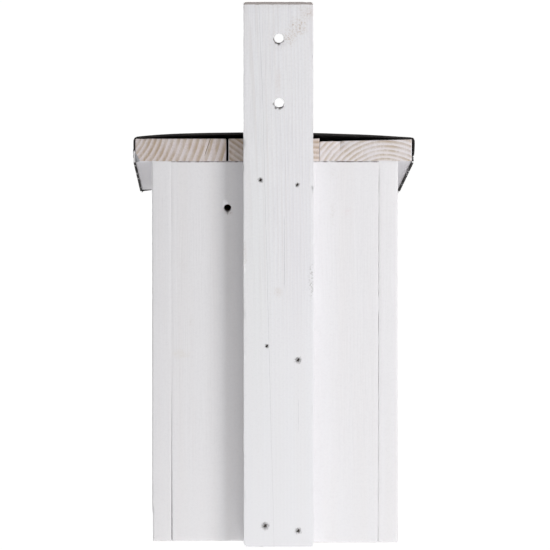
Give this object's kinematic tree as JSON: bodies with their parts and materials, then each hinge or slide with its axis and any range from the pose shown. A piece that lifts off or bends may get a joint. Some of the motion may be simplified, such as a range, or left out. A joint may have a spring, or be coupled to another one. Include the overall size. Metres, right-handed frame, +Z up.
{
  "type": "nest box",
  "caption": "Small painted wooden nest box with a sloping felted roof, an entrance hole and a long hanging batten on its back.",
  "frame": {"origin": "on the rear face of the hanging batten, midway between the side walls, level with the foot of the batten", "axes": "+Z up along the batten; +Y out of the batten's rear face, into the wall or tree; the entrance faces -Y; +X is the right side of someone who faces the entrance"},
  "size_m": [0.2064, 0.2227, 0.399],
  "materials": {
    "painted_batten": "thin white paint, satin, grain showing",
    "painted_boards": "thin white paint, satin, grain showing",
    "roof_boards": "white paint with bare sawn end grain",
    "roofing_felt": "black bitumen felt, sanded",
    "brads": "dull steel, sunk",
    "clout_nails": "dull zinc"
  },
  "bodies": {
    "root": {"hanging_batten": "painted_batten", "back_board_left": "painted_boards", "back_board_right": "painted_boards", "side_wall_left": "painted_boards", "side_wall_right": "painted_boards", "front_wall": "painted_boards", "floor_board": "painted_boards", "roof_board_left": "roof_boards", "roof_board_middle": "roof_boards", "roof_board_right": "roof_boards", "roof_felt": "roofing_felt", "side_brads_left": "brads", "side_brads_right": "brads", "felt_nails_left": "clout_nails", "felt_nails_right": "clout_nails", "felt_nails_front": "clout_nails", "batten_brad_1": "brads", "batten_brad_2": "brads", "batten_brad_3": "brads", "batten_brad_4": "brads", "batten_brad_5": "brads", "batten_brad_6": "brads"}
  },
  "joints": []
}
